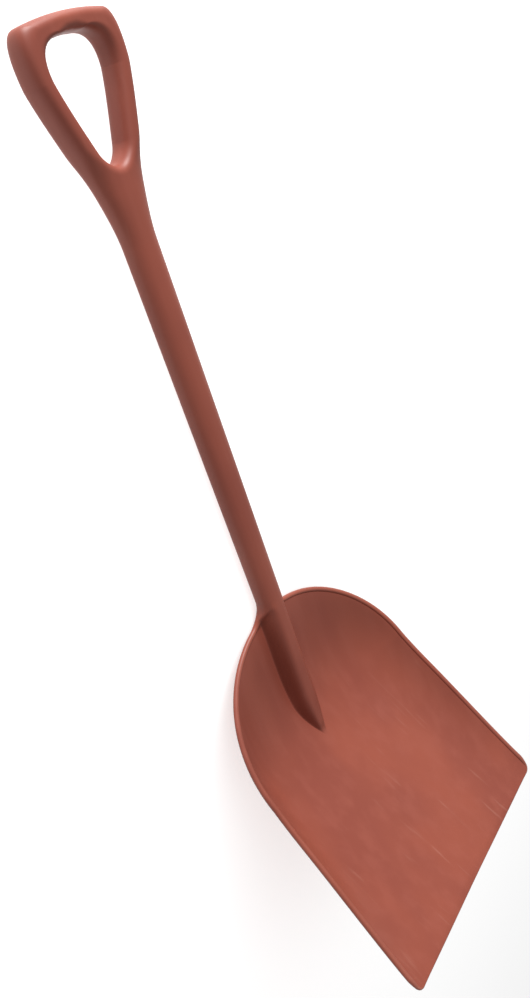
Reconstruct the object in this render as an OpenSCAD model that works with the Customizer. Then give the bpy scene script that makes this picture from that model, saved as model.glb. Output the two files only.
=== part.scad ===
// Grain scoop shovel: one moulded blade, shaft and D grip, lying on its back
// with the hollow side up, the heel and the grip on the ground.
// Each named node is one region of the moulding, and neighbours meet face to face.

/* [Blade] */
// Width across the front edge
blade_width = 350; // [280:1:430]
// Width at the shoulders, where the round back begins
shoulder_width = 315; // [260:1:345]
// Length of the straight sides
side_length = 255; // [200:1:320]
// Depth of the round back, from the shoulders to the rear of the rim
back_depth = 154; // [120:1:190]
// How far the middle of the front edge stands ahead of its corners
edge_bow = 7.5; // [2:0.5:12]
// Radius of the two front corners
corner_radius = 7.5; // [5:0.5:14]
// Wall thickness of the blade
wall = 4; // [3:0.1:5.5]
// Thickness at the front edge
lip_thickness = 2.8; // [2:0.1:3.5]
// Depth of the strip that thins down to the front edge
edge_strip = 22; // [17:0.5:30]

/* [Bowl] */
// Rise of the sides at the front corners
corner_rise = 16; // [6:0.5:25]
// Rise of the sides at the shoulders
shoulder_rise = 27.5; // [15:0.5:45]
// Fullness of the section at the front edge, from a round to a flat one with steep sides
edge_power = 1.8; // [1.6:0.1:3]
// Fullness of the section at the shoulders
bowl_power = 3.1; // [2:0.1:4.5]
// Length of the level part of the sheet through the rim, before it sweeps up to the heel
level_floor = 207; // [160:1:240]
// Radius of the sweep of that sheet
heel_radius = 405; // [320:1:490]
// Depth of the well of the blade under the sheet through the rim
well_depth = 26.3; // [18:0.1:30]
// Length over which the well gets to its depth
well_length = 250; // [200:1:300]
// Where the well starts to rise to the line of the shaft
heel_start = 265; // [258:1:285]
// Where it has reached that line
heel_end = 425; // [412:1:438]
// How steep the side walls are, from a round well to a flat floor with steep walls
wall_power = 5.4; // [4:0.1:7]
// Share of the half width that is floor, the rest being side wall
floor_share = 0.62; // [0.5:0.01:0.75]
// Diameter of the bead along the rim
bead = 6.4; // [5.6:0.1:9]

/* [Neck] */
// Angle between the floor of the blade and the shaft
lift_angle = 33; // [28:0.5:40]
// Radius of the fillets from the rim into the neck
neck_fillet = 23.5; // [14:0.5:30]
// Where the spine ridge dies out, from the level of the front corners
ridge_start = 238; // [220:1:255]
// How gently the ridge runs out into the floor
ridge_runout = 3; // [2:0.5:6]
// Length of the pointed tip of the ridge
ridge_tip = 60; // [40:1:80]
// Half width of the foot of the spine ridge
ridge_foot = 18.5; // [17:0.5:22]

/* [Shaft] */
// Length from the neck to the far end of the grip
handle_length = 623; // [500:1:760]
// Width of the shaft at the neck
shaft_width = 33; // [28:0.2:42]
// Width of the shaft where the yoke begins
yoke_start_width = 39.5; // [32:0.2:50]
// Thickness of the shaft
shaft_thickness = 26.4; // [22:0.2:32]

/* [Grip] */
// Length of the grip with its yoke
grip_length = 210; // [190:1:260]
// Width over the two corners
grip_width = 134.4; // [110:0.2:165]
// Thickness of the grip
grip_thickness = 29; // [24:0.2:36]
// Width of each arm
arm_width = 21.4; // [16:0.2:25]
// Height of the bar in its middle
bar_height = 18.2; // [15:0.2:24]
// Crown of the bar's outer side
bar_crown = 7; // [2:0.5:12]
// Radius of the outer corners
grip_corner = 15; // [10:0.5:22]
// Distance from the far end of the grip to the bottom of its opening
opening_depth = 132.6; // [112:0.2:160]
// Length of the round foot of the opening
opening_foot = 17; // [12:0.5:26]
// Reach of the round top corners of the opening
opening_corner = 34; // [16:0.5:38]
// Crown of the opening's top edge
opening_crown = 0.5; // [0:0.1:4]

/* [Hidden] */

// Colour of the moulding
clay = [0.66, 0.36, 0.30];

// Numbers of grid steps
floor_steps = 8;
wall_steps = 7;
side_steps = 10;
back_steps = 18;
front_steps = 14;
corner_steps = 5;
ridge_steps = 8;
bead_steps = 6;
neck_steps = 12;
handle_across = 24;
yoke_steps = 12;

// ---- general functions ----

function unit(v) = v / norm(v);
function mix(a, b, t) = a * (1 - t) + b * t;
function ease(t) = let (c = min(1, max(0, t))) c * c * (3 - 2 * c);
// Quarter of a rounded edge: 0 at the edge, 1 at a share s = 1 of its width
function rounding(s, power) = let (c = 1 - min(1, max(0, s)))
    pow(max(0, 1 - pow(c, power)), 1 / power);
// Share from 0 to 1 with steps that are close together at both ends
function closer(i, n) = (1 - cos(180 * i / n)) / 2;

// Closed solid between an upper and a lower skin, both grids of rows and columns of points.
// Where points fall together the faces between them are left out.
same_point = 0.001;
module slab(upper, lower) {
    rows = len(upper);
    cols = len(upper[0]);
    points = concat([for (r = upper) each r], [for (r = lower) each r]);
    half = rows * cols;
    function at(i, j) = i * cols + j;
    function quad(a, b, c, d) = [[c, b, a], [d, c, a]];
    skins = [for (i = [0:rows - 2]) for (j = [0:cols - 2]) each concat(
        quad(at(i, j), at(i + 1, j), at(i + 1, j + 1), at(i, j + 1)),
        quad(half + at(i, j), half + at(i, j + 1), half + at(i + 1, j + 1),
            half + at(i + 1, j)))];
    sides = [for (i = [0:rows - 2]) each concat(
        quad(at(i, 0), half + at(i, 0), half + at(i + 1, 0), at(i + 1, 0)),
        quad(at(i, cols - 1), at(i + 1, cols - 1), half + at(i + 1, cols - 1),
            half + at(i, cols - 1)))];
    ends = [for (j = [0:cols - 2]) each concat(
        quad(at(0, j), at(0, j + 1), half + at(0, j + 1), half + at(0, j)),
        quad(at(rows - 1, j), half + at(rows - 1, j), half + at(rows - 1, j + 1),
            at(rows - 1, j + 1)))];
    function real(f) = let (a = points[f[0]], b = points[f[1]], c = points[f[2]])
        min(norm(a - b), norm(b - c), norm(c - a)) > same_point;
    polyhedron(points, [for (f = concat(skins, sides, ends)) if (real(f)) f]);
}

// ---- the bowl: height of its inner skin over the plan of the blade ----
// The plan has its origin at the level of the front corners, +Y towards the handle.

sweep = heel_radius * sin(lift_angle);

function spine_height(y) = let (u = max(0, y - level_floor))
    u < sweep ? heel_radius - sqrt(heel_radius ^ 2 - u ^ 2)
              : heel_radius * (1 - cos(lift_angle)) + (u - sweep) * tan(lift_angle);
function half_width(y) = mix(blade_width, shoulder_width, min(1, max(0, y / side_length))) / 2;
// Rise of the rim over the spine, and fullness of the section
function rise(y) = mix(corner_rise, shoulder_rise, ease(y / side_length));
function fullness(y) = mix(edge_power, bowl_power, ease(y / side_length));
// A shallow sheet that passes through the rim
function rim_sheet(p) = spine_height(p.y)
    + rise(p.y) * pow(abs(p.x) / half_width(p.y), fullness(p.y));
// 0 at the middle of the blade, 1 at the rim
function rim_share(p) = p.y < side_length ? abs(p.x) / (half_width(p.y) - rim_inset)
    : norm([p.x / rim_half, (p.y - side_length) / rim_depth]);
// The value where it is over 0, and a soft run down to 0 where it isn't
function soft(value, softness) = (value + norm([value, softness])) / 2;
// The well gets deeper quickly at first, and its walls run softly into the rim
well_power = 1.5;
rim_softness = 0.06;
function deepening(y) = 1 - pow(1 - min(1, max(0, y / well_length)), well_power);
// The well hangs below the sheet inside the rim
function run_up(y) = 1 - ease((y - heel_start) / (heel_end - heel_start));
function bowl(p) = rim_sheet(p) - well_depth * deepening(p.y) * run_up(p.y)
    * soft(1 - pow(rim_share(p), wall_power), rim_softness);
function on_bowl(p) = [p.x, p.y, bowl(p)];
// Slopes along a short step to both sides, and directions square to the skin and the sheet
near = 0.5;
function slope(p, d) = (bowl(p + d) - bowl(p - d)) / (2 * norm(d));
function sheet_slope(p, d) = (rim_sheet(p + d) - rim_sheet(p - d)) / (2 * norm(d));
function bowl_normal(p) = unit([-slope(p, [near, 0]), -slope(p, [0, near]), 1]);
function sheet_normal(p) = unit([-sheet_slope(p, [near, 0]), -sheet_slope(p, [0, near]), 1]);
function thickness(p) = mix(lip_thickness, wall, ease((p.y + edge_bow) / (2 * edge_strip)));
// Point at a height over the inner skin, measured square to it
function over(p, h) = on_bowl(p) + bowl_normal(p) * h;

// ---- the rim line, where the wall ends and the bead begins, right side ----

// The bead stands out by nearly its diameter, because its inner side runs into the wall
bead_share = 0.98;
bead_reach = bead * bead_share;
rim_inset = bead_reach * cos(lift_angle);
rim_half = shoulder_width / 2 - rim_inset;
rim_depth = back_depth - rim_inset;
fillet_radius = neck_fillet + bead_reach;
fillet_x = shaft_width / 2 + neck_fillet;

// Angle of the rim's outward normal at an angle round the elliptical back
function back_normal(a) = atan2(sin(a) / rim_depth, cos(a) / rim_half);
// Angle at which the back meets the fillet of the neck, found by halving
function fillet_miss(a) = rim_half * cos(a) + fillet_radius * cos(back_normal(a)) - fillet_x;
function halve(low, high, n) = let (m = (low + high) / 2)
    n == 0 ? m : fillet_miss(m) > 0 ? halve(m, high, n - 1) : halve(low, m, n - 1);
halvings = 24;
back_end = halve(30, 89.9, halvings);
fillet_start_angle = back_normal(back_end);
back_end_point = [rim_half * cos(back_end), side_length + rim_depth * sin(back_end)];
fillet_centre = back_end_point + fillet_radius * [cos(fillet_start_angle), sin(fillet_start_angle)];

// Half width of the rim line near the front, with the round corners
function rim_half_at(y) = let (d = max(0, corner_radius - y), r = corner_radius)
    half_width(y) - rim_inset - (r - sqrt(max(0, r * r - d * d)));
front_inset = lip_thickness / 2;

function strip_y(j) = edge_strip * (1 - sin(90 * j / corner_steps));
// Point of the front strip at row j, from its rear (0) to the edge, and share u of the half width
function strip_point(j, u) = let (y = strip_y(j), w = 1 - y / edge_strip)
    [u * rim_half_at(y), y + w * (front_inset - edge_bow * (1 - u * u))];

side_rows = [for (i = [0:side_steps]) mix(edge_strip, side_length, i / side_steps)];
function side_point(y) = [half_width(y) - rim_inset, y];
function back_point(i) = let (a = back_end * i / back_steps)
    [rim_half * cos(a), side_length + rim_depth * sin(a)];
function fillet_point(j) = let (a = fillet_start_angle * (1 - j / neck_steps))
    fillet_centre - fillet_radius * [cos(a), sin(a)];

// The whole rim line from the middle of the front edge to the neck
rim_line = concat(
    [for (i = [0:front_steps]) strip_point(corner_steps, i / front_steps)],
    [for (j = [corner_steps - 1:-1:0]) strip_point(j, 1)],
    [for (i = [1:side_steps]) side_point(side_rows[i])],
    [for (i = [1:back_steps]) back_point(i)],
    [for (j = [1:neck_steps]) fillet_point(j)]);
corner_at = front_steps;
side_at = front_steps + corner_steps;
back_at = side_at + side_steps;
neck_at = back_at + back_steps;
last_at = neck_at + neck_steps;

// Outward direction in plan at a point of the rim line
function rim_out(i) = i == 0 ? [0, -1] : i == last_at ? [1, 0]
    : let (t = unit(rim_line[i + 1] - rim_line[i - 1])) [t.y, -t.x];
function bead_radius(p) = mix(thickness(p) / 2, bead / 2, ease(p.y / edge_strip));

// Angle round the bead at which its upper side leaves the wall; its outermost line is at 0
function bead_first(i) = let (r = bead_radius(rim_line[i]))
    180 - asin(min(1, (thickness(rim_line[i]) - r) / r));
// Offset outward and over the inner skin at an angle round the bead
function bead_round(i, a) = let (r = bead_radius(rim_line[i]))
    [r * (cos(a) - cos(bead_first(i))), r * (1 + sin(a)) - thickness(rim_line[i])];
function bead_upper(i, k) = bead_round(i, bead_first(i) * (1 - k / bead_steps));
function bead_lower(i, k) = k == 0 ? [0, -thickness(rim_line[i])]
    : bead_round(i, 90 * ((k - 1) / (bead_steps - 1) - 1));
// Point of the bead at offsets from rim point i; where it leaves the wall it is square to the wall
function bead_point(i, offset) = let (p = rim_line[i], o = rim_out(i),
    along = unit([o.x, o.y, sheet_slope(p, o * near)]))
    offset.x == 0 ? over(p, offset.y)
        : on_bowl(p) + along * offset.x + sheet_normal(p) * offset.y;
function bead_row_upper(i) = [for (k = [0:bead_steps]) bead_point(i, bead_upper(i, k))];
function bead_row_lower(i) = [for (k = [0:bead_steps]) bead_point(i, bead_lower(i, k))];

// ---- spine ridge: the shaft runs on over the heel and dies into the floor ----

ridge_end = back_end_point.y;
axis_height = grip_thickness / 2 - wall;
// The neck ends where the shaft begins: along and square to the shaft in the plan of the blade
neck_end = [0, fillet_centre.y, rim_sheet([0, fillet_centre.y])];
along_shaft = [0, cos(lift_angle), sin(lift_angle)];
square_shaft = [0, -sin(lift_angle), cos(lift_angle)];
shaft_top = neck_end + square_shaft * (axis_height + shaft_thickness / 2);
// Half width of the ridge at its tip, length over which it starts, and roundness of the tip
ridge_tip_half = 1;
ridge_fade = 20;
ridge_tip_power = 1.5;
// Fullness and fillet of the ridge's section
ridge_fullness = 5;
ridge_fillet = 2;
// The rows over the back stand closer together at the tip of the ridge
row_spread = 1.5;
// Height over the floor of the shaft's straight top line, which dips softly into the floor
function ridge_crest(y) = ease((y - ridge_start) / ridge_fade)
    * soft(shaft_top.z - (shaft_top.y - y) * tan(lift_angle) - bowl([0, y]), ridge_runout);
function ridge_half(y) = mix(ridge_foot, ridge_tip_half,
    pow(1 - min(1, max(0, (y - ridge_start) / ridge_tip)), ridge_tip_power));
function ridge_profile(s) = pow(1 - pow(min(1, abs(s)), ridge_fullness), ridge_fillet);
function ridge_lift(p) = ridge_crest(p.y) * ridge_profile(p.x / ridge_half(p.y));
function ridge_top(p) = on_bowl(p) + [0, 0, ridge_lift(p)];

// Rows across the back, from the edge of the ridge to the rim line
function back_row(i) = let (y = mix(ridge_start, ridge_end, pow(i / back_steps, row_spread)))
    [[ridge_half(y), y], back_point(i)];
function back_grid_point(i, s) = let (r = back_row(i)) mix(r[0], r[1], s);
// Points of the pan, from the front strip (0) to the first row of the back
function pan_point(i, s) = let (front = [s * rim_half_at(edge_strip), edge_strip],
    rear = s == 0 ? [0, ridge_start] : back_grid_point(0, s)) mix(front, rear, i / side_steps);

// ---- placing: the blade is turned back by the lift, so the shaft lies level ----

function laid(p) = [p.x, p.y * cos(lift_angle) + p.z * sin(lift_angle),
    p.z * cos(lift_angle) - p.y * sin(lift_angle)];
ground = laid(neck_end - square_shaft * wall).z;
handle_start = laid(neck_end).y;
front_reach = min([for (i = [0:corner_at]) for (p = concat(bead_row_upper(i), bead_row_lower(i)))
    laid(p).y]);
middle = (front_reach + handle_start + handle_length) / 2;
function placed(p) = laid(p) - [0, middle, ground];
function place_grid(grid) = [for (row = grid) [for (p = row) placed(p)]];
// Point of the handle: across, along from the neck, and over its axis
function handle_point(x, q, h) = [x, handle_start + q - middle, grip_thickness / 2 + h];

// ---- blade solids ----

module plate(grid) {
    slab(place_grid([for (row = grid) [for (p = row) over(p, 0)]]),
         place_grid([for (row = grid) [for (p = row) over(p, -thickness(p))]]));
}

module blade_floor() {
    color(clay) plate([for (i = [side_steps:-1:0]) [for (k = [-floor_steps:floor_steps])
        let (p = pan_point(i, floor_share * abs(k) / floor_steps)) [sign(k) * p.x, p.y]]]);
}

strip_shares = concat([for (k = [0:floor_steps]) floor_share * k / floor_steps],
    [for (k = [1:wall_steps]) mix(floor_share, 1, k / wall_steps)]);
strip_all = concat([for (k = [len(strip_shares) - 1:-1:1]) -strip_shares[k]], strip_shares);

module cutting_edge() {
    color(clay) plate([for (j = [0:corner_steps]) [for (u = strip_all) strip_point(j, u)]]);
}

module side_wall() {
    color(clay) plate([for (i = [side_steps:-1:0]) [for (k = [0:wall_steps])
        pan_point(i, mix(floor_share, 1, k / wall_steps))]]);
}

module right_side_wall() { side_wall(); }
module left_side_wall() { mirror([1, 0, 0]) side_wall(); }

module heel_side() {
    color(clay) plate([for (i = [back_steps:-1:0]) [for (k = [0:floor_steps])
        back_grid_point(i, floor_share * k / floor_steps)]]);
}

module right_heel() { heel_side(); }
module left_heel() { mirror([1, 0, 0]) heel_side(); }

module shoulder() {
    color(clay) plate([for (i = [back_steps:-1:0]) [for (k = [0:wall_steps])
        back_grid_point(i, mix(floor_share, 1, k / wall_steps))]]);
}

module right_shoulder() { shoulder(); }
module left_shoulder() { mirror([1, 0, 0]) shoulder(); }

// Bead between two places of the rim line
module bead_run(first, last) {
    color(clay) slab(
        place_grid([for (i = [last:-1:first]) bead_row_upper(i)]),
        place_grid([for (i = [last:-1:first]) bead_row_lower(i)]));
}

module right_side_rim() { bead_run(side_at, back_at); }
module left_side_rim() { mirror([1, 0, 0]) bead_run(side_at, back_at); }
module right_back_rim() { bead_run(back_at, neck_at); }
module left_back_rim() { mirror([1, 0, 0]) bead_run(back_at, neck_at); }

function mirrored(row) = [for (p = row) [-p.x, p.y, p.z]];

module front_lip() {
    color(clay) slab(
        place_grid(concat([for (i = [side_at:-1:1]) bead_row_upper(i)],
            [for (i = [0:side_at]) mirrored(bead_row_upper(i))])),
        place_grid(concat([for (i = [side_at:-1:1]) bead_row_lower(i)],
            [for (i = [0:side_at]) mirrored(bead_row_lower(i))])));
}

module spine_ridge() {
    rows = [for (i = [back_steps:-1:0]) [for (k = [-ridge_steps:ridge_steps])
        let (y = back_row(i)[0].y) [ridge_half(y) * k / ridge_steps, y]]];
    color(clay) slab(
        place_grid([for (row = rows) [for (k = [0:2 * ridge_steps]) let (p = row[k])
            ridge_top(p)]]),
        place_grid([for (row = rows) [for (p = row) over(p, -thickness(p))]]));
}

// ---- neck: ridge, wall and bead of the last row of the back become the oval of the shaft ----

shaft_power = 2.4;
function oval(x) = shaft_thickness / 2 * rounding(1 - abs(x) / (shaft_width / 2), shaft_power);
neck_shares = concat(
    [for (k = [0:ridge_steps]) ridge_foot * k / ridge_steps / back_end_point.x],
    [for (k = [1:len(strip_shares) - 1]) mix(ridge_foot, back_end_point.x, strip_shares[k])
        / back_end_point.x]);
function neck_blend(j) = ease((rim_line[neck_at + j].y - ridge_end) / (neck_end.y - ridge_end));
function neck_half_width(j) = rim_line[neck_at + j].x + bead_reach;
// The underside keeps the level of the heel for longer in the middle than at its edges
lag_power = 2;
function lower_blend(j, x) = pow(neck_blend(j),
    mix(lag_power, 1, min(1, abs(x) / neck_half_width(j))));
// The oval of the shaft, drawn out to the width of row j
function shaft_point(j, x, side) = let (o = oval(x / neck_half_width(j) * shaft_width / 2),
    q = (rim_line[neck_at + j].y - neck_end.y) / cos(lift_angle))
    [x, 0, 0] + neck_end + along_shaft * q + square_shaft * (axis_height + side * o);
function neck_plan(j, s) = let (p = rim_line[neck_at + j]) [s * p.x, p.y];
function neck_upper(j, s) = let (p = neck_plan(j, s))
    mix(ridge_top(p), shaft_point(j, p.x, 1), neck_blend(j));
function neck_lower(j, s) = let (p = neck_plan(j, s))
    mix(over(p, -wall), shaft_point(j, p.x, -1), lower_blend(j, p.x));
// The bead rises with the side of the ridge where the two meet
function neck_bead_upper(j, k) = let (i = neck_at + j, offset = bead_upper(i, k),
    lift = [0, 0, ridge_lift(rim_line[i]) * (1 - k / bead_steps)])
    mix(bead_point(i, offset) + lift, shaft_point(j, rim_line[i].x + offset.x, 1), neck_blend(j));
function neck_bead_lower(j, k) = let (i = neck_at + j, offset = bead_lower(i, k),
    x = rim_line[i].x + offset.x)
    mix(bead_point(i, offset), shaft_point(j, x, -1), lower_blend(j, x));
function neck_half_upper(j) = concat([for (s = neck_shares) neck_upper(j, s)],
    [for (k = [1:bead_steps]) neck_bead_upper(j, k)]);
function neck_half_lower(j) = concat([for (s = neck_shares) neck_lower(j, s)],
    [for (k = [1:bead_steps]) neck_bead_lower(j, k)]);
function both_halves(row) = concat([for (k = [len(row) - 1:-1:1]) [-row[k].x, row[k].y, row[k].z]], row);

module neck() {
    color(clay) slab(
        place_grid([for (j = [neck_steps:-1:0]) both_halves(neck_half_upper(j))]),
        place_grid([for (j = [neck_steps:-1:0]) both_halves(neck_half_lower(j))]));
}

// ---- handle: outline in plan, and half thickness over it ----

grip_power = 2.6;
flare_start = handle_length - grip_length;
corner_top = handle_length - bar_crown;
corner_low = corner_top - grip_corner;
opening_low = handle_length - opening_depth;
yoke_end = opening_low - arm_width;
// How far inside the corners the last control point of the flare's curve lies
flare_inset = 5.7;

function curve(a, b, c, d, t) = let (u = 1 - t)
    u ^ 3 * a + 3 * u ^ 2 * t * b + 3 * u * t ^ 2 * c + t ^ 3 * d;
// Half width of the handle along its length, up to the corners of the grip
function outline(q) = let (a = yoke_start_width / 2, b = grip_width / 2)
    q < flare_start ? mix(shaft_width, yoke_start_width, q / flare_start) / 2
    : curve(a, a, b - flare_inset, b, min(1, (q - flare_start) / (corner_low - flare_start)));

// ---- grip: rows that run from the edge of the opening out to the outline, right half ----

arm_across = 16;
foot_steps = 5;
arm_steps = 9;
bend_steps = 8;
bar_steps = 6;

opening_top = handle_length - bar_height - opening_crown;
arm_top = opening_top - opening_corner;
crown_x = grip_width / 2 - grip_corner;
function crown(x) = corner_top + bar_crown * (1 - (x / (grip_width / 2)) ^ 2);
crown_slope = -2 * bar_crown * crown_x / (grip_width / 2) ^ 2;
function opening_side(q) = outline(q) - arm_width;
function opening_edge(q) = [opening_side(q) * rounding((q - opening_low) / opening_foot, 2), q];

// Inner and outer ends of each row up the arm. Round the foot of the opening they first go to
// the end of the yoke and then to its side, and after that they go straight up the arm.
function foot_at(turn) = opening_low + opening_foot * (1 - cos(turn));
function foot_row(i) = let (v = i / foot_steps)
    [opening_edge(foot_at(45 * v)), [outline(yoke_end) * v, yoke_end]];
function bank_row(i) = let (v = i / foot_steps, out = mix(yoke_end, opening_low + opening_foot, v))
    [opening_edge(foot_at(45 + 45 * v)), [outline(out), out]];
function side_row(i) = let (q = mix(opening_low + opening_foot, arm_top, i / arm_steps))
    [opening_edge(q), [outline(q), q]];
arm_rows = concat([for (i = [0:foot_steps]) foot_row(i)], [for (i = [1:foot_steps]) bank_row(i)],
    [for (i = [1:arm_steps]) side_row(i)]);

// Curve from a to b that leaves and arrives along the lines to their corner
corner_pull = 0.66;
function bend(a, b, corner, t) = curve(a, mix(a, corner, corner_pull), mix(b, corner, corner_pull), b, t);
inner_corner = [opening_side(opening_top), opening_top];
inner_bend_end = [inner_corner.x - opening_corner, opening_top];
outer_corner = [grip_width / 2, crown(crown_x) + crown_slope * grip_corner];
bend_rows = let (r = arm_rows[len(arm_rows) - 1])
    [for (i = [0:bend_steps]) let (t = i / bend_steps)
        [bend(r[0], inner_bend_end, inner_corner, t),
         bend(r[1], [crown_x, crown(crown_x)], outer_corner, t)]];
bar_rows = [for (i = [0:bar_steps]) let (s = 1 - i / bar_steps)
    [[inner_bend_end.x * s, opening_top + opening_crown * (1 - s * s)],
     [crown_x * s, crown(crown_x * s)]]];

// Height of the grip over its middle plane at share s of a row
function grip_height(row, s) = let (p = mix(row[0], row[1], s), span = norm(row[1] - row[0]),
    full = span / 2, w = outline(p.y), settled = ease((p.y - yoke_end) / (2 * arm_width)),
    in_edge = rounding(s * span / min(full, arm_width / 2), grip_power),
    out_edge = p.y < arm_top ? rounding((w - p.x) / mix(w, full, settled), grip_power)
        : rounding((1 - s) * span / full, grip_power))
    grip_thickness / 2 * in_edge * out_edge;
function grip_point(row, s, side) = let (p = mix(row[0], row[1], s))
    handle_point(p.x, p.y, side * grip_height(row, s));
module grip_run(rows) {
    color(clay) slab(
        [for (r = rows) [for (k = [0:arm_across]) grip_point(r, closer(k, arm_across), 1)]],
        [for (r = rows) [for (k = [0:arm_across]) grip_point(r, closer(k, arm_across), -1)]]);
}

module grip_arm() { grip_run([for (i = [len(arm_rows) - 1:-1:0]) arm_rows[i]]); }
module right_grip_arm() { grip_arm(); }
module left_grip_arm() { mirror([1, 0, 0]) grip_arm(); }
module grip_bend() { grip_run([for (i = [bend_steps:-1:0]) bend_rows[i]]); }
module right_grip_corner() { grip_bend(); }
module left_grip_corner() { mirror([1, 0, 0]) grip_bend(); }
module grip_bar() {
    grip_run(concat([for (r = bar_rows) [[-r[0].x, r[0].y], [-r[1].x, r[1].y]]],
        [for (i = [bar_steps - 1:-1:0]) bar_rows[i]]));
}

// The section of the handle changes from that of the shaft to that of the grip along the yoke
function yoke_share(q) = ease((q - flare_start) / (yoke_end - flare_start));
function section_height(q, s) = mix(shaft_thickness, grip_thickness, yoke_share(q)) / 2
    * rounding(1 - abs(s), mix(shaft_power, grip_power, yoke_share(q)));
function section_row(q, side) = [for (k = [0:handle_across]) let (s = 2 * closer(k, handle_across) - 1)
    handle_point(s * outline(q), q, side * section_height(q, s))];

module handle_run(stations) {
    color(clay) slab([for (q = stations) section_row(q, 1)], [for (q = stations) section_row(q, -1)]);
}

module shaft() { handle_run([flare_start, 0]); }
module yoke() { handle_run([for (i = [yoke_steps:-1:0]) mix(flare_start, yoke_end, i / yoke_steps)]); }

blade_floor();
cutting_edge();
front_lip();
left_side_wall();
right_side_wall();
left_heel();
right_heel();
left_shoulder();
right_shoulder();
left_side_rim();
right_side_rim();
left_back_rim();
right_back_rim();
spine_ridge();
neck();
shaft();
yoke();
left_grip_arm();
right_grip_arm();
left_grip_corner();
right_grip_corner();
grip_bar();
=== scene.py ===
"""One-piece moulded grain scoop shovel, lying on its back on a pale studio floor."""

import math

import bpy
from mathutils import Matrix, Vector


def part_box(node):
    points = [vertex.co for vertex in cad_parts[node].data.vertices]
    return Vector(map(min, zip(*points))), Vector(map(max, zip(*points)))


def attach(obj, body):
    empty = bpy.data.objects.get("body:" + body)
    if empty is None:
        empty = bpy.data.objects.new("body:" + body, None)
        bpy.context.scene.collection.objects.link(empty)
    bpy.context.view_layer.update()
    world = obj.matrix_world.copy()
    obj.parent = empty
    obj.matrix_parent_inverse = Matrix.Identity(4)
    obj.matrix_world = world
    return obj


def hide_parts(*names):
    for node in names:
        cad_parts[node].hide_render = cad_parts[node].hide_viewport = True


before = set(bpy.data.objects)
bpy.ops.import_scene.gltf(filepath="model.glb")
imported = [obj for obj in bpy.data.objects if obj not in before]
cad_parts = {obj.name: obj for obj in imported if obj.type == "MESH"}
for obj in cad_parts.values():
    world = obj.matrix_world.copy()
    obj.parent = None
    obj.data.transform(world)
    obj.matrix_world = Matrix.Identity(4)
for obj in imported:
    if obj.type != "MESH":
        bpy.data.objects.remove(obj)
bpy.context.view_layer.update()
scene = bpy.context.scene
bpy.ops.object.select_all(action="DESELECT")

# ---- Camera ----
# A long portrait view from above the grip end and the left side, along the shaft towards the
# blade. The tool runs up the picture, so the camera's upward side points at the grip.

EYE = Vector((-0.6701, 0.4455, 0.6617))
AIM = Vector((0.0700, -0.0230, -0.0035))
UPWARD = Vector((0.5179, 0.8551, -0.0257))
FOCAL_LENGTH = 33.90
SENSOR_WIDTH = 36.0

back = (EYE - AIM).normalized()
right = UPWARD.cross(back).normalized()
bpy.ops.object.camera_add(location=EYE)
camera = bpy.context.object
camera.name = "camera"
camera.data.lens = FOCAL_LENGTH
camera.data.sensor_width = SENSOR_WIDTH
camera.rotation_mode = "QUATERNION"
camera.rotation_quaternion = Matrix((right, back.cross(right), back)).transposed().to_quaternion()
scene.camera = camera

# ---- Studio ----
# A matt white floor that runs out past the view, soft white light from all round, and one large
# low soft box past the grip end, so the raised front of the blade is lit most. It throws no hard
# shadow, which leaves the floor white.

FLOOR_SIZE = 30.0
FLOOR_COLOUR = (0.97, 0.97, 0.97, 1.0)
WHITE = (1.0, 1.0, 1.0, 1.0)
AMBIENT = 0.62
KEY_PLACE = (0.55, 3.15, 1.15)
KEY_SIZE = 1.6
KEY_POWER = 265

bpy.ops.mesh.primitive_plane_add(size=FLOOR_SIZE)
floor = bpy.context.object
floor.name = "studio_floor"
floor_paint = bpy.data.materials.new("matt_white_floor")
floor_paint.use_nodes = True
floor_shader = floor_paint.node_tree.nodes["Principled BSDF"]
floor_shader.inputs["Base Color"].default_value = FLOOR_COLOUR
floor_shader.inputs["Roughness"].default_value = 1.0
floor_shader.inputs["Specular IOR Level"].default_value = 0.0
floor.data.materials.append(floor_paint)

scene.view_settings.view_transform = "Standard"
scene.world = bpy.data.worlds.new("studio_light")
scene.world.use_nodes = True
sky = scene.world.node_tree.nodes["Background"]
sky.inputs["Color"].default_value = WHITE
sky.inputs["Strength"].default_value = AMBIENT

bpy.ops.object.light_add(type="AREA", location=KEY_PLACE)
key = bpy.context.object
key.name = "key_soft_box"
key.data.size = KEY_SIZE
key.data.energy = KEY_POWER
key.data.use_shadow = False
key.rotation_mode = "QUATERNION"
key.rotation_quaternion = (-Vector(KEY_PLACE)).to_track_quat("-Z", "Y")

# ---- Blade ----
# The pan of the scoop: a thin shell that is nearly flat at its front edge and deep at its round
# back, where the floor sweeps up to the line of the shaft. It is injection moulded in
# polypropylene in one shot with all the rest, so its regions meet without any joint.

BLADE_WIDTH = 0.350
SHOULDER_WIDTH = 0.315
SIDE_LENGTH = 0.255
BACK_DEPTH = 0.154
EDGE_BOW = 0.0075
CORNER_RADIUS = 0.0075
WALL = 0.004
LIP_THICKNESS = 0.0028
EDGE_STRIP = 0.022
CORNER_RISE = 0.016
SHOULDER_RISE = 0.0275
EDGE_POWER = 1.8
BOWL_POWER = 3.1
WELL_DEPTH = 0.0263
WELL_LENGTH = 0.250
WELL_POWER = 1.5
HEEL_START = 0.265
HEEL_END = 0.425
WALL_POWER = 5.4
RIM_SOFTNESS = 0.06
LEVEL_FLOOR = 0.207
HEEL_RADIUS = 0.405
FLOOR_SHARE = 0.62
LIFT = math.radians(33.0)
BEAD = 0.0064
BEAD_SHARE = 0.98
BEAD_REACH = BEAD_SHARE * BEAD
NECK_FILLET = 0.0235
SHAFT_WIDTH = 0.033
NEAR = 0.0005
SWEEP = HEEL_RADIUS * math.sin(LIFT)
RIM_INSET = BEAD_REACH * math.cos(LIFT)
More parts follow.
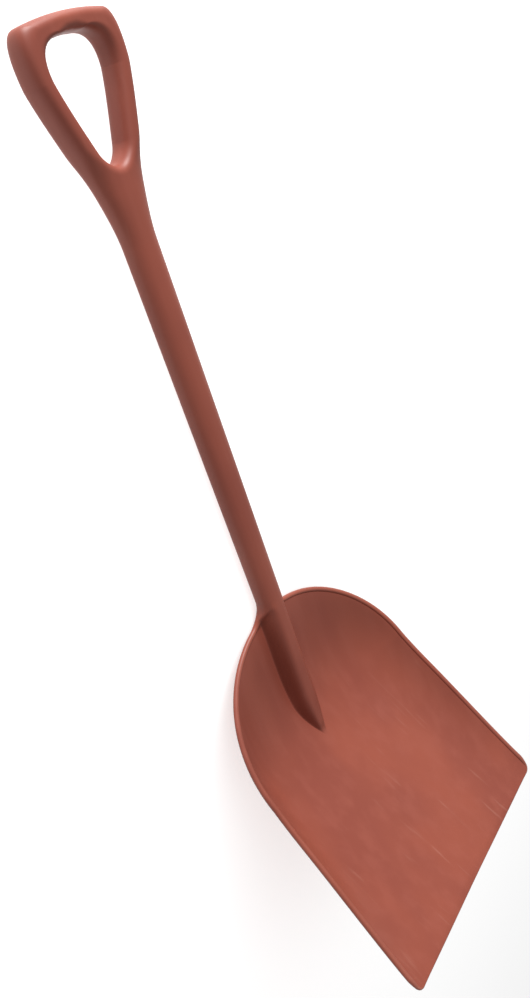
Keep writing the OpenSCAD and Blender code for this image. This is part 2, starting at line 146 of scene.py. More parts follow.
RIM_HALF = SHOULDER_WIDTH / 2 - RIM_INSET
RIM_DEPTH = BACK_DEPTH - RIM_INSET


def mix(a, b, t):
    """The value, point or place a share t of the way from a to b."""
    return a * (1 - t) + b * t


def ease(t):
    """A soft start and end to a run from 0 to 1."""
    t = min(1.0, max(0.0, t))
    return t * t * (3 - 2 * t)


def closer(count, first=0.0, last=1.0):
    """Values from first to last whose steps shrink towards both ends, so seams stay smooth."""
    return [mix(first, last, (1 - math.cos(math.pi * i / count)) / 2) for i in range(count + 1)]


def spine_height(y):
    """Height along the middle of the blade: level, then swept up to the line of the shaft."""
    u = max(0.0, y - LEVEL_FLOOR)
    if u < SWEEP:
        return HEEL_RADIUS - math.sqrt(HEEL_RADIUS**2 - u * u)
    return HEEL_RADIUS * (1 - math.cos(LIFT)) + (u - SWEEP) * math.tan(LIFT)


def half_width(y):
    """Half width of the blade over its rim: widest at the front, then straight to the shoulder."""
    return mix(BLADE_WIDTH, SHOULDER_WIDTH, min(1.0, max(0.0, y / SIDE_LENGTH))) / 2


def soft(value, softness):
    """The value where it is over 0, and a soft run down to 0 where it isn't."""
    return (value + math.hypot(value, softness)) / 2


def rim_sheet(x, y):
    """Height over the plan of the blade of a shallow sheet that passes through the rim."""
    along = ease(y / SIDE_LENGTH)
    rise = mix(CORNER_RISE, SHOULDER_RISE, along)
    return spine_height(y) + rise * (abs(x) / half_width(y)) ** mix(EDGE_POWER, BOWL_POWER, along)


def rim_share(x, y):
    """0 at the middle of the blade, 1 at the rim."""
    if y < SIDE_LENGTH:
        return abs(x) / (half_width(y) - RIM_INSET)
    return math.hypot(x / RIM_HALF, (y - SIDE_LENGTH) / RIM_DEPTH)


def bowl(x, y):
    """Height of the inner skin: the well of the blade hangs below the sheet inside the rim."""
    deepening = 1 - (1 - min(1.0, max(0.0, y / WELL_LENGTH))) ** WELL_POWER
    run_up = 1 - ease((y - HEEL_START) / (HEEL_END - HEEL_START))
    wall_run = soft(1 - rim_share(x, y) ** WALL_POWER, RIM_SOFTNESS)
    return rim_sheet(x, y) - WELL_DEPTH * deepening * run_up * wall_run


def square_to(surface, x, y):
    """The direction square to a surface over the plan."""
    slope_x = (surface(x + NEAR, y) - surface(x - NEAR, y)) / (2 * NEAR)
    slope_y = (surface(x, y + NEAR) - surface(x, y - NEAR)) / (2 * NEAR)
    return Vector((-slope_x, -slope_y, 1.0)).normalized()


def over(x, y, height):
    """The point at a height over the inner skin, measured square to it."""
    return Vector((x, y, bowl(x, y))) + square_to(bowl, x, y) * height


def thickness(y):
    """Thickness of the wall, which is thinned down towards the front edge."""
    return mix(LIP_THICKNESS, WALL, ease((y + EDGE_BOW) / (2 * EDGE_STRIP)))


def back_normal(a):
    """The angle of the way outward from the oval back, at an angle round it."""
    return math.atan2(math.sin(a) / RIM_DEPTH, math.cos(a) / RIM_HALF)


# The angle round the oval back at which the rim turns off into the fillet, found by halving
FILLET_RADIUS = NECK_FILLET + BEAD_REACH
HALVINGS = 24
LEAST_TURN, MOST_TURN = 30.0, 89.9
BACK_END, beyond = math.radians(LEAST_TURN), math.radians(MOST_TURN)
for halving in range(HALVINGS):
    middle = (BACK_END + beyond) / 2
    across = RIM_HALF * math.cos(middle) + FILLET_RADIUS * math.cos(back_normal(middle))
    if across > SHAFT_WIDTH / 2 + NECK_FILLET:
        BACK_END = middle
    else:
        beyond = middle
FILLET_TURN = back_normal(BACK_END)


def back_point(share):
    """A point of the rim on the oval back: 0 at the end of the side, 1 at the fillet of the neck."""
    a = BACK_END * share
    return Vector((RIM_HALF * math.cos(a), SIDE_LENGTH + RIM_DEPTH * math.sin(a)))


NECK_CORNER = back_point(1.0)
FILLET_CENTRE = NECK_CORNER + FILLET_RADIUS * Vector((math.cos(FILLET_TURN), math.sin(FILLET_TURN)))


def rim_half_at(y):
    """Half width of the blade inside the bead, with the front corner rounded off."""
    inset = CORNER_RADIUS - math.sqrt(max(0.0, CORNER_RADIUS**2 - max(0.0, CORNER_RADIUS - y) ** 2))
    return half_width(y) - RIM_INSET - inset


def strip_point(x_share, y_share):
    """The strip behind the front edge: y_share 0 is its rear line, 1 the edge itself."""
    y = EDGE_STRIP * (1 - math.sin(math.pi / 2 * y_share))
    bow = LIP_THICKNESS / 2 - EDGE_BOW * (1 - x_share**2)
    return Vector((x_share * rim_half_at(y), y + (1 - y / EDGE_STRIP) * bow))


def laid(p):
    """From the blade's own plan to the tool as it lies, turned back until the shaft is level."""
    return Vector((p.x, p.y * math.cos(LIFT) + p.z * math.sin(LIFT),
                   p.z * math.cos(LIFT) - p.y * math.sin(LIFT)))


SHAFT_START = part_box("shaft")[0].y
NECK_END = Vector((0.0, FILLET_CENTRE.y, rim_sheet(0.0, FILLET_CENTRE.y)))
SQUARE = Vector((0.0, -math.sin(LIFT), math.cos(LIFT)))
OFFSET = Vector((0.0, SHAFT_START - laid(NECK_END).y, -laid(NECK_END - SQUARE * WALL).z))


SAME_POINT = 0.00001
CREASE = 40.0


def moulded(name, across, along, point, worn_and_highlit=None):
    """A closed region of the moulding. Its upper and lower skins start as flat grids, point()
    lays every crossing of the values across and along, and the two skins are bridged. The last
    argument tells how pale the upper skin is painted there: rubbing, and a painted highlight."""
    bpy.ops.object.select_all(action="DESELECT")
    skins = []
    for side in (1, -1):
        bpy.ops.mesh.primitive_grid_add(x_subdivisions=len(across) - 1, y_subdivisions=len(along) - 1)
        skin = bpy.context.object
        for i, vertex in enumerate(skin.data.vertices):
            vertex.co = point(across[i % len(across)], along[i // len(across)], side)
        if worn_and_highlit:
            wear_and_highlight = skin.data.attributes.new("wear_and_highlight", "FLOAT", "POINT")
            for i, value in enumerate(wear_and_highlight.data):
                value.value = worn_and_highlit(across[i % len(across)], along[i // len(across)])
        skins.append(skin)
    skins[0].select_set(True)
    bpy.ops.object.join()
    piece = bpy.context.object
    piece.name = piece.data.name = name + "_moulded"
    bpy.ops.object.mode_set(mode="EDIT")
    bpy.ops.mesh.select_mode(type="EDGE")
    bpy.ops.mesh.select_all(action="DESELECT")
    bpy.ops.mesh.select_non_manifold()
    bpy.ops.mesh.bridge_edge_loops()
    bpy.ops.mesh.select_all(action="SELECT")
    bpy.ops.mesh.remove_doubles(threshold=SAME_POINT)
    bpy.ops.mesh.normals_make_consistent(inside=False)
    bpy.ops.object.mode_set(mode="OBJECT")
    bpy.ops.object.shade_smooth_by_angle(angle=math.radians(CREASE))
    return piece


PAN_ROWS = closer(56)
BACK_ROWS = closer(60)
FLOOR_COLUMNS = closer(40)
WALL_COLUMNS = closer(22, FLOOR_SHARE)
STRIP_ROWS = closer(14)


def plate(name, across, along, plan):
    """A region of the pan, given by its plan and as thick as the wall there."""
    def point(a, b, side):
        p = plan(a, b)
        return laid(over(p.x, p.y, 0.0 if side > 0 else -thickness(p.y))) + OFFSET
    return moulded(name, across, along, point)


def mirrored(piece, name):
    """The same region on the left side."""
    bpy.ops.object.select_all(action="DESELECT")
    piece.select_set(True)
    bpy.context.view_layer.objects.active = piece
    bpy.ops.object.duplicate()
    twin = bpy.context.object
    twin.name = twin.data.name = name + "_moulded"
    bpy.ops.object.mode_set(mode="EDIT")
    bpy.ops.mesh.select_all(action="SELECT")
    bpy.ops.transform.mirror(constraint_axis=(True, False, False), center_override=(0, 0, 0))
    bpy.ops.mesh.normals_make_consistent(inside=False)
    bpy.ops.object.mode_set(mode="OBJECT")
    return twin


def effect(name, *outputs):
    """A shared effect: it reads a place on the tool and gives masks or heights."""
    tree = bpy.data.node_groups.new(name, "ShaderNodeTree")
    tree.interface.new_socket("Place", in_out="INPUT", socket_type="NodeSocketVector")
    for output in outputs:
        tree.interface.new_socket(output, in_out="OUTPUT", socket_type="NodeSocketFloat")
    return tree, tree.nodes.new("NodeGroupInput").outputs["Place"], tree.nodes.new("NodeGroupOutput")


def noise(tree, place, scale, detail, stretch=(1, 1, 1)):
    """Soft noise, drawn out along an axis whose stretch is under 1."""
    mapping = tree.nodes.new("ShaderNodeMapping")
    mapping.inputs["Scale"].default_value = stretch
    texture = tree.nodes.new("ShaderNodeTexNoise")
    texture.inputs["Scale"].default_value = scale
    texture.inputs["Detail"].default_value = detail
    tree.links.new(place, mapping.inputs["Vector"])
    tree.links.new(mapping.outputs["Vector"], texture.inputs["Vector"])
    return texture.outputs[0]


def ramp(tree, value, first, last, low=0.0, high=1.0):
    """Runs softly from low to high while the value goes from first to last."""
    node = tree.nodes.new("ShaderNodeMapRange")
    node.interpolation_type = "SMOOTHSTEP"
    node.inputs["From Min"].default_value = first
    node.inputs["From Max"].default_value = last
    node.inputs["To Min"].default_value = low
    node.inputs["To Max"].default_value = high
    tree.links.new(value, node.inputs["Value"])
    return node.outputs["Result"]


def combined(tree, operation, a, b):
    """Two values added, multiplied or compared; b may be a number or a socket."""
    node = tree.nodes.new("ShaderNodeMath")
    node.operation = operation
    tree.links.new(a, node.inputs[0])
    if isinstance(b, (int, float)):
        node.inputs[1].default_value = b
    else:
        tree.links.new(b, node.inputs[1])
    return node.outputs[0]


# The colour sockets of a Mix node, which has a set of sockets for each kind of value
COLOUR_A, COLOUR_B, COLOUR_OUT = 6, 7, 2


def blend(tree, share, a, b):
    """One colour goes over to another with a share; either may be a colour or a socket."""
    node = tree.nodes.new("ShaderNodeMix")
    node.data_type = "RGBA"
    tree.links.new(share, node.inputs[0])
    for socket, colour in ((node.inputs[COLOUR_A], a), (node.inputs[COLOUR_B], b)):
        if isinstance(colour, tuple):
            socket.default_value = colour
        else:
            tree.links.new(colour, socket)
    return node.outputs[COLOUR_OUT]


PLAIN, DETAILED = 2.0, 3.0
CLOUD_SCALE = 7.0
CLOUD_STRETCH = (1.4, 0.7, 1.0)
CLOUD_BOUNDS = (0.35, 0.68)
STREAK_SCALE = 60.0
STREAK_STRETCH = (1.0, 0.07, 1.0)
STREAK_BOUNDS = (0.40, 0.75)


def flow_marks():
    """Cloudy mottling of the melt, and faint streaks along the way it flowed from the gate."""
    tree, place, out = effect("flow_marks", "Clouds", "Streaks")
    clouds = noise(tree, place, CLOUD_SCALE, DETAILED, CLOUD_STRETCH)
    streaks = noise(tree, place, STREAK_SCALE, PLAIN, STREAK_STRETCH)
    tree.links.new(ramp(tree, clouds, *CLOUD_BOUNDS), out.inputs["Clouds"])
    tree.links.new(ramp(tree, streaks, *STREAK_BOUNDS), out.inputs["Streaks"])
    return tree


GRAIN_SCALE = 850.0
GRAIN_HEIGHT = 0.10
WAVE_SCALE = 26.0


def fine_grain():
    """The spark-eroded texture of the mould, with a slow waviness under it."""
    tree, place, out = effect("fine_grain", "Height")
    grain = combined(tree, "MULTIPLY", noise(tree, place, GRAIN_SCALE, PLAIN), GRAIN_HEIGHT)
    waves = noise(tree, place, WAVE_SCALE, PLAIN)
    tree.links.new(combined(tree, "ADD", grain, waves), out.inputs["Height"])
    return tree


SCUFF_SCALE = 230.0
SCUFF_STRETCH = (1.0, 0.05, 0.08)
SCUFF_BOUNDS = (0.60, 0.72)
PATCH_SCALE = 16.0
PATCH_BOUNDS = (0.48, 0.62)
SCUFFS_START = -0.20
SCUFFS_FULL = -0.50
REAR_SCUFFS = 0.25


def scuffs():
    """Pale rubbed marks along the way of the scoop, most of them near the front edge."""
    tree, place, out = effect("scuffs", "Mask")
    axes = tree.nodes.new("ShaderNodeSeparateXYZ")
    tree.links.new(place, axes.inputs["Vector"])
    lines = ramp(tree, noise(tree, place, SCUFF_SCALE, DETAILED, SCUFF_STRETCH), *SCUFF_BOUNDS)
    patches = ramp(tree, noise(tree, place, PATCH_SCALE, PLAIN), *PATCH_BOUNDS)
    front = ramp(tree, axes.outputs["Y"], SCUFFS_START, SCUFFS_FULL, REAR_SCUFFS, 1.0)
    marks = combined(tree, "MULTIPLY", combined(tree, "MULTIPLY", lines, patches), front)
    tree.links.new(marks, out.inputs["Mask"])
    return tree


DEEP_CLAY = (0.163, 0.036, 0.022, 1.0)
WARM_CLAY = (0.196, 0.046, 0.027, 1.0)
STREAK_CLAY = (0.212, 0.056, 0.037, 1.0)
# Paler clay for rubbed marks, and for the painted highlight along the crest of the bead
RUBBED_AND_HIGHLIT_CLAY = (0.34, 0.16, 0.12, 1.0)
WEAR_AND_HIGHLIGHT_PALENESS = 0.25
SCUFF_PALENESS = 0.14
STREAK_STRENGTH = 0.35
DULL, GLOSSY = 0.50, 0.42
SCUFF_ROUGHNESS = 0.15
PLASTIC_IOR = 1.49
PLASTIC_SPECULAR = 0.3
BUMP_STRENGTH = 0.35
BUMP_DEPTH = 0.0006


def plastic():
    """Satin clay-red polypropylene. Its pattern runs on from region to region."""
    material = bpy.data.materials.new("polypropylene")
    material.use_nodes = True
    tree = material.node_tree
    shader = tree.nodes["Principled BSDF"]
    place = tree.nodes.new("ShaderNodeTexCoord").outputs["Object"]
    effects = []
    for make in (flow_marks, fine_grain, scuffs):
        node = tree.nodes.new("ShaderNodeGroup")
        node.node_tree = make()
        tree.links.new(place, node.inputs["Place"])
        effects.append(node)
    flow, grain, rubbed = effects
    # The attribute carries rubbed wear on the lip and a painted highlight along the crest of the bead
    wear_and_highlight = tree.nodes.new("ShaderNodeAttribute")
    wear_and_highlight.attribute_name = "wear_and_highlight"
    worn_and_highlit = combined(tree, "MULTIPLY", wear_and_highlight.outputs["Fac"], WEAR_AND_HIGHLIGHT_PALENESS)
    rubs = combined(tree, "MULTIPLY", rubbed.outputs["Mask"], SCUFF_PALENESS)
    colour = blend(tree, flow.outputs["Clouds"], DEEP_CLAY, WARM_CLAY)
    streaked = combined(tree, "MULTIPLY", flow.outputs["Streaks"], STREAK_STRENGTH)
    colour = blend(tree, streaked, colour, STREAK_CLAY)
    colour = blend(tree, combined(tree, "MAXIMUM", worn_and_highlit, rubs), colour, RUBBED_AND_HIGHLIT_CLAY)
    tree.links.new(colour, shader.inputs["Base Color"])
    roughness = ramp(tree, flow.outputs["Clouds"], 0.0, 1.0, DULL, GLOSSY)
    roughened = combined(tree, "MULTIPLY", rubbed.outputs["Mask"], SCUFF_ROUGHNESS)
    roughness = combined(tree, "ADD", roughness, roughened)
    tree.links.new(roughness, shader.inputs["Roughness"])
    shader.inputs["IOR"].default_value = PLASTIC_IOR
    shader.inputs["Specular IOR Level"].default_value = PLASTIC_SPECULAR
    bump = tree.nodes.new("ShaderNodeBump")
    bump.inputs["Strength"].default_value = BUMP_STRENGTH
    bump.inputs["Distance"].default_value = BUMP_DEPTH
    tree.links.new(grain.outputs["Height"], bump.inputs["Height"])
    tree.links.new(bump.outputs["Normal"], shader.inputs["Normal"])
    return material


PLASTIC = plastic()


def fitted(piece):
    """Every region is the same plastic and stands for the CAD region of its name."""
    piece.data.materials.append(PLASTIC)
    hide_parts(piece.name.removesuffix("_moulded"))
    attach(piece, "root")


RIDGE_START = 0.238
RIDGE_FOOT = 0.0185
RIDGE_TIP_HALF = 0.001
RIDGE_TIP_LENGTH = 0.060
RIDGE_TIP_POWER = 1.5
ROW_SPREAD = 1.5


def ridge_half(y):
    """Half width of the foot of the spine ridge, which the heel runs up to."""
    share = min(1.0, max(0.0, (y - RIDGE_START) / RIDGE_TIP_LENGTH))
    return mix(RIDGE_TIP_HALF, RIDGE_FOOT, 1 - (1 - share) ** RIDGE_TIP_POWER)


def back_plan(share, row):
    """The heel and the shoulder: share 0 is the foot of the ridge, 1 the rim."""
    y = mix(RIDGE_START, NECK_CORNER.y, row**ROW_SPREAD)
    return mix(Vector((ridge_half(y), y)), back_point(row), share)


def pan_plan(share, row):
    """The floor and the side wall, from the front strip to the first row of the back."""
    side = math.copysign(1.0, share)
    rear = back_plan(abs(share), 0.0) if share else Vector((0.0, RIDGE_START))
    front = Vector((abs(share) * rim_half_at(EDGE_STRIP), EDGE_STRIP))
    p = mix(front, rear, row)
    return Vector((side * p.x, p.y))


floor_across = [-s for s in reversed(FLOOR_COLUMNS[1:])] + FLOOR_COLUMNS
floor_across = [s * FLOOR_SHARE for s in floor_across]
heel_across = [s * FLOOR_SHARE for s in FLOOR_COLUMNS]
strip_half = heel_across + WALL_COLUMNS[1:]
strip_across = [-s for s in reversed(strip_half[1:])] + strip_half

fitted(plate("blade_floor", floor_across, PAN_ROWS, pan_plan))
fitted(plate("cutting_edge", strip_across, STRIP_ROWS, strip_point))
for region, across, rows, plan in (("side_wall", WALL_COLUMNS, PAN_ROWS, pan_plan),
                                   ("heel", heel_across, BACK_ROWS, back_plan),
                                   ("shoulder", WALL_COLUMNS, BACK_ROWS, back_plan)):
    right_piece = plate("right_" + region, across, rows, plan)
    fitted(mirrored(right_piece, "left_" + region))
    fitted(right_piece)

# ---- Rim ----
# A round bead that stiffens the wall all the way round the back and sides, and thins down to the
# flat front lip. It is flush with the underside, so the tool slides over a floor.

BEAD_STEPS = 12
BEAD_COLUMNS = [k / BEAD_STEPS for k in range(BEAD_STEPS + 1)]
FIRST_LOWER = BEAD_COLUMNS[1]
RIM_STEP = 0.02
# How pale the crest of the bead is painted along the sides and back: a painted highlight
RIM_END = 4.999
REAR_CREST_HIGHLIGHT = 0.25
WEAR_RUN = 1.6


def bead_offset(radius, wall, k, side):
    """How far out and over the inner skin the bead's surface is, from the wall at k 0."""
    leaves = math.pi - math.asin(min(1.0, (wall - radius) / radius))
    if side > 0:
        a = leaves * (1 - k)
    elif k < FIRST_LOWER:
        return 0.0, -wall
    else:
        a = -math.pi / 2 * (1 - k) / (1 - FIRST_LOWER)
    return radius * (math.cos(a) - math.cos(leaves)), radius * (1 + math.sin(a)) - wall


def rim(s):
    """The line along which wall and bead meet, right half: 0 to 1 the front edge, to 2 the corner,
    to 3 the straight side, to 4 the oval back and to 5 the fillet of the neck."""
    if s < 1:
        return strip_point(s, 1.0)
    if s < 2:
        return strip_point(1.0, 2 - s)
    if s < 3:
        y = mix(EDGE_STRIP, SIDE_LENGTH, s - 2)
        return Vector((half_width(y) - RIM_INSET, y))
    if s < 4:
        return back_point(s - 3)
    a = FILLET_TURN * (5 - s)
    return FILLET_CENTRE - FILLET_RADIUS * Vector((math.cos(a), math.sin(a)))


def bead_frame(s):
    """A point of the rim line with its thickness, bead radius and direction outward."""
    p = rim(s)
    step = rim(s + RIM_STEP) - rim(s - RIM_STEP)
    out = Vector((step.y, -step.x)).normalized()
    if s > RIM_END:
        out = Vector((1.0, 0.0))
    wall = thickness(p.y)
    radius = mix(wall / 2, BEAD / 2, ease(p.y / EDGE_STRIP))
    rise = (rim_sheet(p.x + out.x * NEAR, p.y + out.y * NEAR)
            - rim_sheet(p.x - out.x * NEAR, p.y - out.y * NEAR))
    return p, wall, radius, Vector((out.x, out.y, rise / (2 * NEAR))).normalized()


def bead_point(s, out, height):
    """A point of the bead; where it leaves the wall it is square to the wall."""
    p, wall, radius, outward = bead_frame(s)
    if out == 0:
        return over(p.x, p.y, height)
    foot = Vector((p.x, p.y, bowl(p.x, p.y)))
    return foot + outward * out + square_to(rim_sheet, p.x, p.y) * height


def bead_skin(k, s, side):
    """Both skins of the bead; a negative s is on the left."""
    p, wall, radius, outward = bead_frame(abs(s))
    out, height = bead_offset(radius, wall, k, side)
    q = laid(bead_point(abs(s), out, height)) + OFFSET
    return Vector((math.copysign(1.0, s) * q.x, q.y, q.z))


def bead_wear_and_highlight(k, s):
    """The crest of the bead is painted paler: the lip most and the corners less, where it is rubbed,
    and the rest of the bead a little, as a painted highlight.
    """
    front = 1 - ease((abs(s) - 1) / WEAR_RUN)
    return math.sin(math.pi * k) ** 2 * mix(REAR_CREST_HIGHLIGHT, 1.0, front)


side_rows = [2 + r for r in PAN_ROWS]
back_rows = [3 + r for r in BACK_ROWS]
for region, rows in (("side_rim", side_rows), ("back_rim", back_rows)):
    right_piece = moulded("right_" + region, BEAD_COLUMNS, rows, bead_skin, bead_wear_and_highlight)
    fitted(mirrored(right_piece, "left_" + region))
    fitted(right_piece)

lip_half = strip_half + [2 - r for r in reversed(STRIP_ROWS[:-1])]
lip_rows = [-s for s in reversed(lip_half[1:])] + lip_half
fitted(moulded("front_lip", BEAD_COLUMNS, lip_rows, bead_skin, bead_wear_and_highlight))

# ---- Spine ridge ----
# A raised tang that carries the load of the blade into the shaft. It is moulded on with the heel,
# about as wide as the shaft and level with its top, and ends in a point on the floor.

SHAFT_THICKNESS = 0.0264
GRIP_THICKNESS = 0.029
AXIS_HEIGHT = GRIP_THICKNESS / 2 - WALL
RIDGE_RUNOUT = 0.003
RIDGE_FADE = 0.020
RIDGE_FULLNESS = 5
RIDGE_FILLET = 2
RIDGE_COLUMNS = closer(24, -1.0)
SHAFT_TOP = NECK_END + SQUARE * (AXIS_HEIGHT + SHAFT_THICKNESS / 2)


def ridge_top(x, y):
    """The straight top of the shaft runs on over the heel and dips softly into the floor."""
    crest = soft(SHAFT_TOP.z - (SHAFT_TOP.y - y) * math.tan(LIFT) - bowl(0.0, y), RIDGE_RUNOUT)
    share = min(1.0, abs(x) / ridge_half(y))
    height = crest * ease((y - RIDGE_START) / RIDGE_FADE) * (1 - share**RIDGE_FULLNESS) ** RIDGE_FILLET
    return Vector((x, y, bowl(x, y) + height))


def ridge_skin(share, row, side):
    """The ridge over the underside of the heel; share -1 and 1 are its feet."""
    y = mix(RIDGE_START, NECK_CORNER.y, row**ROW_SPREAD)
    x = ridge_half(y) * share
    return laid(ridge_top(x, y) if side > 0 else over(x, y, -thickness(y))) + OFFSET


fitted(moulded("spine_ridge", RIDGE_COLUMNS, BACK_ROWS, ridge_skin))

# ---- Neck ----
# The root of the shaft, where the beads of the rim, the ridge and the wall of the back run
# together. It is of the same moulding, with a round fillet on each side so it doesn't crack.

SHAFT_POWER = 2.4
LAG_POWER = 2.0
ALONG = Vector((0.0, math.cos(LIFT), math.sin(LIFT)))


def rounded_edge(share, power):
    """Quarter of a rounded edge: 0 at the edge itself, 1 at a whole share of its width."""
    return max(0.0, 1 - (1 - min(1.0, max(0.0, share))) ** power) ** (1 / power)


def shaft_oval(x):
    """Half thickness of the shaft at a distance from its middle."""
    return SHAFT_THICKNESS / 2 * rounded_edge(1 - abs(x) / (SHAFT_WIDTH / 2), SHAFT_POWER)


NECK_ROWS = closer(28)
neck_half = [RIDGE_FOOT * k / NECK_CORNER.x for k in RIDGE_COLUMNS if k > -SAME_POINT]
neck_half += [mix(RIDGE_FOOT, NECK_CORNER.x, s) / NECK_CORNER.x for s in strip_half[1:]]
neck_half += [1 + k for k in BEAD_COLUMNS[1:]]
neck_across = [-s for s in reversed(neck_half[1:])] + neck_half


def neck_skin(share, row, side):
    """Ridge, wall and bead of the last row of the back turn into the oval of the shaft. A share
    over 1 is on the bead."""
    p, wall, radius, outward = bead_frame(4 + row)
    x = min(1.0, abs(share)) * p.x
    if abs(share) > 1:
        out, height = bead_offset(radius, wall, abs(share) - 1, side)
        blade = bead_point(4 + row, out, height)
        if side > 0:
            blade.z += (ridge_top(p.x, p.y).z - bowl(p.x, p.y)) * (2 - abs(share))
        x += out
    elif side > 0:
        blade = ridge_top(x, p.y)
    else:
        blade = over(x, p.y, -wall)
    stage = (p.y - NECK_CORNER.y) / (NECK_END.y - NECK_CORNER.y)
    across = x / (p.x + BEAD_REACH)
    shaft_share = ease(stage) if side > 0 else ease(stage) ** mix(LAG_POWER, 1.0, min(1.0, across))
    oval = side * shaft_oval(across * SHAFT_WIDTH / 2)
    shaft = NECK_END + ALONG * ((p.y - NECK_END.y) / math.cos(LIFT)) + SQUARE * (AXIS_HEIGHT + oval)
    shaft.x = x
    q = laid(mix(blade, shaft, shaft_share)) + OFFSET
    return Vector((math.copysign(1.0, share) * q.x, q.y, q.z))


fitted(moulded("neck", neck_across, NECK_ROWS, neck_skin))

# ---- Shaft ----
# A straight oval bar of the same moulding, a little wider towards the grip. The outline and the
# section below run on through the yoke, and the outline along the arms of the grip too.

HANDLE_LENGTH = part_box("grip_bar")[1].y - SHAFT_START
YOKE_START_WIDTH = 0.0395
GRIP_LENGTH = 0.210
GRIP_WIDTH = 0.1344
ARM_WIDTH = 0.0214
BAR_CROWN = 0.007
GRIP_CORNER = 0.015
OPENING_DEPTH = 0.1326
FLARE_INSET = 0.0057
GRIP_POWER = 2.6
FLARE_START = HANDLE_LENGTH - GRIP_LENGTH
CORNER_TOP = HANDLE_LENGTH - BAR_CROWN
CORNER_LOW = CORNER_TOP - GRIP_CORNER
OPENING_LOW = HANDLE_LENGTH - OPENING_DEPTH
YOKE_END = OPENING_LOW - ARM_WIDTH


def curve(a, b, c, d, t):
    """A smooth curve from a to d that is drawn towards b and c on its way."""
    u = 1 - t
    return a * u**3 + b * (3 * u * u * t) + c * (3 * u * t * t) + d * t**3


def outline(q):
    """Half width of the handle at a distance from its start."""
    narrow, wide = YOKE_START_WIDTH / 2, GRIP_WIDTH / 2
    if q < FLARE_START:
        return mix(SHAFT_WIDTH, YOKE_START_WIDTH, q / FLARE_START) / 2
    t = min(1.0, (q - FLARE_START) / (CORNER_LOW - FLARE_START))
    return curve(narrow, narrow, wide - FLARE_INSET, wide, t)


def handle_point(x, q, height):
    """A point by its distance along the handle and its height over the axis."""
    return Vector((x, SHAFT_START + q, GRIP_THICKNESS / 2 + height))


def handle_skin(share, q, side):
    """The oval section of shaft and yoke, which grows into the section of the grip."""
    along_yoke = ease((q - FLARE_START) / (YOKE_END - FLARE_START))
    half = mix(SHAFT_THICKNESS, GRIP_THICKNESS, along_yoke) / 2
    power = mix(SHAFT_POWER, GRIP_POWER, along_yoke)
    return handle_point(share * outline(q), q, side * half * rounded_edge(1 - abs(share), power))


HANDLE_COLUMNS = closer(56, -1.0)
SHAFT_ROWS = closer(48, 0.0, FLARE_START)

fitted(moulded("shaft", HANDLE_COLUMNS, SHAFT_ROWS, handle_skin))

# ---- Yoke ----
# The flare from the shaft up to the grip, of the same moulding. Its section grows a little thicker
# and squarer on the way, and it ends below the opening, where the two arms begin.

YOKE_ROWS = closer(28, FLARE_START, YOKE_END)

fitted(moulded("yoke", HANDLE_COLUMNS, YOKE_ROWS, handle_skin))

# ---- Grip ----
# A closed D-grip of the same moulding: two arms, two rounded corners and a crowned bar round one
# opening. Its section is rounded inside and outside, so the hand meets no sharp edge.

BAR_HEIGHT = 0.0182
OPENING_FOOT = 0.017
OPENING_CORNER = 0.034
OPENING_CROWN = 0.0005
OPENING_POWER = 2
CORNER_PULL = 0.66
SETTLE_LENGTH = 2 * ARM_WIDTH
OPENING_TOP = HANDLE_LENGTH - BAR_HEIGHT - OPENING_CROWN
ARM_TOP = OPENING_TOP - OPENING_CORNER
CROWN_X = GRIP_WIDTH / 2 - GRIP_CORNER


def crown(x):
    """The outer edge of the bar, a shallow arch between the two corners."""
    return CORNER_TOP + BAR_CROWN * (1 - (x / (GRIP_WIDTH / 2)) ** 2)


def opening_edge(q):
    """The right edge of the opening: rounded at its foot, then as far in as the arm is wide."""
    side = outline(q) - ARM_WIDTH
    return Vector((side * rounded_edge((q - OPENING_LOW) / OPENING_FOOT, OPENING_POWER), q))


def arm_row(t):
    """Inner and outer end of a row up the arm. Round the foot of the opening it first goes to
    the end of the yoke, then to its side, and after that straight up the arm."""
    if t < 2:
        inner = opening_edge(OPENING_LOW + OPENING_FOOT * (1 - math.cos(math.pi / 4 * t)))
    if t < 1:
        return inner, Vector((outline(YOKE_END) * t, YOKE_END))
    if t < 2:
        q = mix(YOKE_END, OPENING_LOW + OPENING_FOOT, t - 1)
    else:
        q = mix(OPENING_LOW + OPENING_FOOT, ARM_TOP, t - 2)
        inner = opening_edge(q)
    return inner, Vector((outline(q), q))


def turned(a, b, corner, t):
    """A rounded corner from a to b, pulled towards the sharp corner."""
    return curve(a, mix(a, corner, CORNER_PULL), mix(b, corner, CORNER_PULL), b, t)


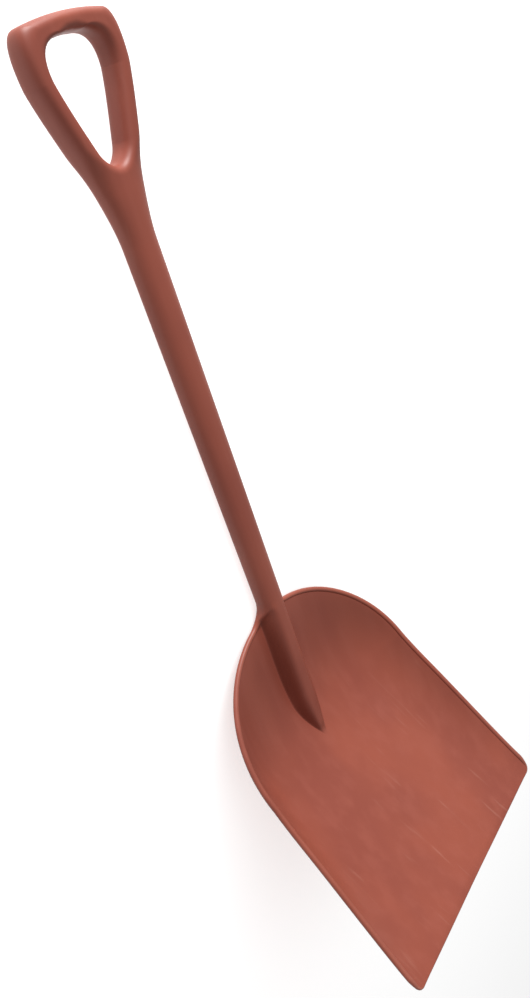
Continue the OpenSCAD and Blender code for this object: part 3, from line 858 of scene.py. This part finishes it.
INNER_CORNER = Vector((outline(OPENING_TOP) - ARM_WIDTH, OPENING_TOP))
INNER_END = Vector((INNER_CORNER.x - OPENING_CORNER, OPENING_TOP))
crown_slope = -2 * BAR_CROWN * CROWN_X / (GRIP_WIDTH / 2) ** 2
OUTER_CORNER = Vector((GRIP_WIDTH / 2, crown(CROWN_X) + crown_slope * GRIP_CORNER))


def corner_row(t):
    """A row round the corner, from the end of the arm to the end of the bar."""
    inner, outer = arm_row(3.0)
    return (turned(inner, INNER_END, INNER_CORNER, t),
            turned(outer, Vector((CROWN_X, crown(CROWN_X))), OUTER_CORNER, t))


def bar_row(t):
    """A row across the bar, from the edge of the opening to the crown."""
    return (Vector((INNER_END.x * t, OPENING_TOP + OPENING_CROWN * (1 - t * t))),
            Vector((CROWN_X * t, crown(CROWN_X * t))))


def grip_skin(row):
    """The rounded section over the rows of one region of the grip."""
    def point(share, t, side):
        inner, outer = row(t)
        p = mix(inner, outer, share)
        span = (outer - inner).length
        full = span / 2
        width = outline(p.y)
        settled = ease((p.y - YOKE_END) / SETTLE_LENGTH)
        inner_edge = rounded_edge(share * span / min(full, ARM_WIDTH / 2), GRIP_POWER)
        outer_edge = rounded_edge((1 - share) * span / full, GRIP_POWER)
        if p.y < ARM_TOP:
            outer_edge = rounded_edge((width - p.x) / mix(width, full, settled), GRIP_POWER)
        return handle_point(p.x, p.y, side * GRIP_THICKNESS / 2 * inner_edge * outer_edge)
    return point


GRIP_COLUMNS = closer(44)
ARM_ROWS = closer(14, 0, 1) + closer(14, 1, 2)[1:] + closer(34, 2, 3)[1:]
CORNER_ROWS = closer(30)
BAR_ROWS = closer(44, -1.0)

for region, rows, row in (("grip_arm", ARM_ROWS, arm_row), ("grip_corner", CORNER_ROWS, corner_row)):
    right_piece = moulded("right_" + region, GRIP_COLUMNS, rows, grip_skin(row))
    fitted(mirrored(right_piece, "left_" + region))
    fitted(right_piece)

fitted(moulded("grip_bar", GRIP_COLUMNS, BAR_ROWS, grip_skin(bar_row)))
